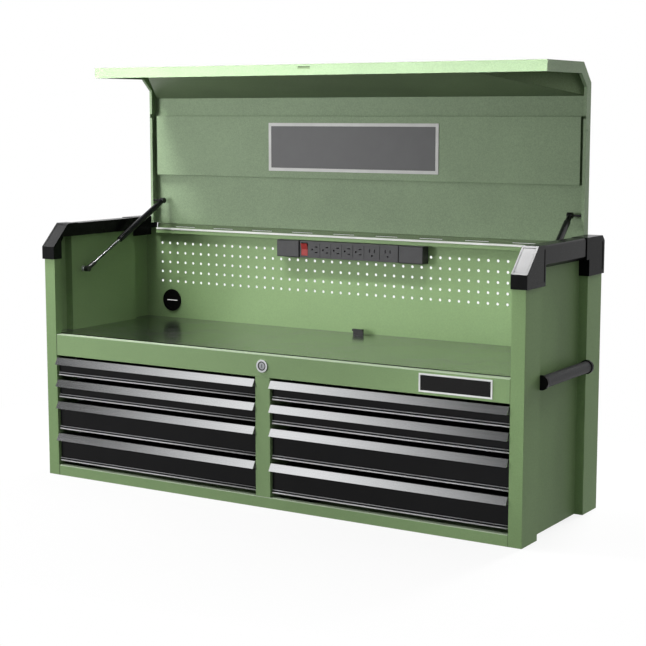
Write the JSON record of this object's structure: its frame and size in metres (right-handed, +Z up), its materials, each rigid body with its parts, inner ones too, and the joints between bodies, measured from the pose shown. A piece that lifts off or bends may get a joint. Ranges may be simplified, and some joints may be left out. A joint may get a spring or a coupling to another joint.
{
  "type": "tool chest",
  "caption": "Lidded steel tool chest with side-by-side banks of sliding drawers, a lined top tray, a perforated back panel, gas struts and side handles.",
  "frame": {"origin": "centre of the base, halfway between the front of the posts and the back panel", "axes": "+Z up, the front faces -Y, +X to the right seen from the front"},
  "size_m": [1.307, 0.4125, 0.9882],
  "materials": {
    "green_coat": "fine-textured powder coat",
    "zinc_steel": "zinc plated",
    "black_plastic": "textured",
    "grip": "matte",
    "liner": "smooth",
    "chrome": "polished",
    "black_paint": "satin",
    "red_plastic": "gloss",
    "aluminium": "brushed"
  },
  "bodies": {
    "cabinet": {"left_side_panel": "green_coat", "right_side_panel": "green_coat", "back_panel": "green_coat", "tray_floor": "green_coat", "tray_liner": "liner", "front_header": "green_coat", "centre_divider": "green_coat", "bottom_panel": "green_coat", "slide_uprights": "zinc_steel", "cabinet_slides": "zinc_steel", "front_caps": "black_plastic", "rear_caps": "black_plastic", "top_trims": "black_plastic", "handle_grips": "grip", "handle_flanges": "black_plastic", "power_strip_housing": "black_plastic", "power_strip_ends": "black_plastic", "cable_grommet": "black_plastic", "lock_barrel": "chrome", "hinge_body_leaf": "zinc_steel", "hinge_pin": "zinc_steel", "strut_body_studs": "zinc_steel"},
    "lid": {"lid_shell": "green_coat", "lid_liner": "green_coat", "lid_stiffener": "green_coat", "hinge_lid_leaf": "zinc_steel", "strut_lid_studs": "black_paint"},
    "left_rod": {"left_strut_rod": "zinc_steel"},
    "left_tube": {"left_strut_tube": "black_paint"},
    "right_rod": {"right_strut_rod": "zinc_steel"},
    "right_tube": {"right_strut_tube": "black_paint"},
    "rocker": {"rocker_switch": "red_plastic"},
    "plug": {"lock_plug": "chrome", "lock_cam": "zinc_steel"},
    "bar": {"lock_bar": "black_plastic"},
    "left_drawer_1": {"left_drawer_1_box": "black_paint", "left_drawer_1_pull": "aluminium", "left_drawer_1_slides": "zinc_steel"},
    "left_drawer_2": {"left_drawer_2_box": "black_paint", "left_drawer_2_pull": "aluminium", "left_drawer_2_slides": "zinc_steel"},
    "left_drawer_3": {"left_drawer_3_box": "black_paint", "left_drawer_3_pull": "aluminium", "left_drawer_3_slides": "zinc_steel"},
    "left_drawer_4": {"left_drawer_4_box": "black_paint", "left_drawer_4_pull": "aluminium", "left_drawer_4_slides": "zinc_steel"},
    "right_drawer_1": {"right_drawer_1_box": "black_paint", "right_drawer_1_pull": "aluminium", "right_drawer_1_slides": "zinc_steel"},
    "right_drawer_2": {"right_drawer_2_box": "black_paint", "right_drawer_2_pull": "aluminium", "right_drawer_2_slides": "zinc_steel"},
    "right_drawer_3": {"right_drawer_3_box": "black_paint", "right_drawer_3_pull": "aluminium", "right_drawer_3_slides": "zinc_steel"},
    "right_drawer_4": {"right_drawer_4_box": "black_paint", "right_drawer_4_pull": "aluminium", "right_drawer_4_slides": "zinc_steel"}
  },
  "joints": [
    {"name": "lid_hinge", "type": "hinge", "parent": "cabinet", "child": "lid", "pos_m": [0, 0.2015, 0.5912], "axis": [1, 0, 0], "range_deg": [0, 90], "stiffness_Nm_per_rad": 4, "springref_deg": -171.89},
    {"name": "rocker_tilt", "type": "hinge", "parent": "cabinet", "child": "rocker", "pos_m": [-0.124, 0.1733, 0.5497], "axis": [-1, 0, 0], "range_deg": [0, 14]},
    {"name": "lock_plug_turn", "type": "hinge", "parent": "cabinet", "child": "plug", "pos_m": [0, -0.1975, 0.3225], "axis": [0, 1, 0], "range_deg": [0, 90]},
    {"name": "lock_bar_slide", "type": "slide", "parent": "cabinet", "child": "bar", "axis": [1, 0, 0], "range_m": [0, 0.0198]},
    {"name": "left_strut_swing", "type": "hinge", "parent": "cabinet", "child": "left_rod", "pos_m": [-0.5998, -0.0825, 0.498], "axis": [-0.9804, 0.1783, -0.084], "range_deg": [0, 13.41]},
    {"name": "left_strut_telescope", "type": "slide", "parent": "left_rod", "child": "left_tube", "axis": [-0.1109, -0.8513, -0.5128], "range_m": [0, 0.07318]},
    {"name": "right_strut_swing", "type": "hinge", "parent": "cabinet", "child": "right_rod", "pos_m": [0.5998, -0.0825, 0.498], "axis": [-0.9804, -0.1783, 0.084], "range_deg": [0, 13.41]},
    {"name": "right_strut_telescope", "type": "slide", "parent": "right_rod", "child": "right_tube", "axis": [0.1109, -0.8513, -0.5128], "range_m": [0, 0.07318]},
    {"name": "left_drawer_1_slide", "type": "slide", "parent": "cabinet", "child": "left_drawer_1", "axis": [0, -1, 0], "range_m": [0, 0.28]},
    {"name": "left_drawer_2_slide", "type": "slide", "parent": "cabinet", "child": "left_drawer_2", "axis": [0, -1, 0], "range_m": [0, 0.28]},
    {"name": "left_drawer_3_slide", "type": "slide", "parent": "cabinet", "child": "left_drawer_3", "axis": [0, -1, 0], "range_m": [0, 0.28]},
    {"name": "left_drawer_4_slide", "type": "slide", "parent": "cabinet", "child": "left_drawer_4", "axis": [0, -1, 0], "range_m": [0, 0.28]},
    {"name": "right_drawer_1_slide", "type": "slide", "parent": "cabinet", "child": "right_drawer_1", "axis": [0, -1, 0], "range_m": [0, 0.28]},
    {"name": "right_drawer_2_slide", "type": "slide", "parent": "cabinet", "child": "right_drawer_2", "axis": [0, -1, 0], "range_m": [0, 0.28]},
    {"name": "right_drawer_3_slide", "type": "slide", "parent": "cabinet", "child": "right_drawer_3", "axis": [0, -1, 0], "range_m": [0, 0.28]},
    {"name": "right_drawer_4_slide", "type": "slide", "parent": "cabinet", "child": "right_drawer_4", "axis": [0, -1, 0], "range_m": [0, 0.28]}
  ],
  "couplings": [
    {"joint": "lock_bar_slide", "follows": "lock_plug_turn", "m_per_rad": 0.012604},
    {"joint": "left_strut_swing", "follows": "lid_hinge", "ratio": 0.14892},
    {"joint": "left_strut_telescope", "follows": "lid_hinge", "m_per_rad": 0.046574},
    {"joint": "right_strut_swing", "follows": "lid_hinge", "ratio": 0.14892},
    {"joint": "right_strut_telescope", "follows": "lid_hinge", "m_per_rad": 0.046574}
  ]
}
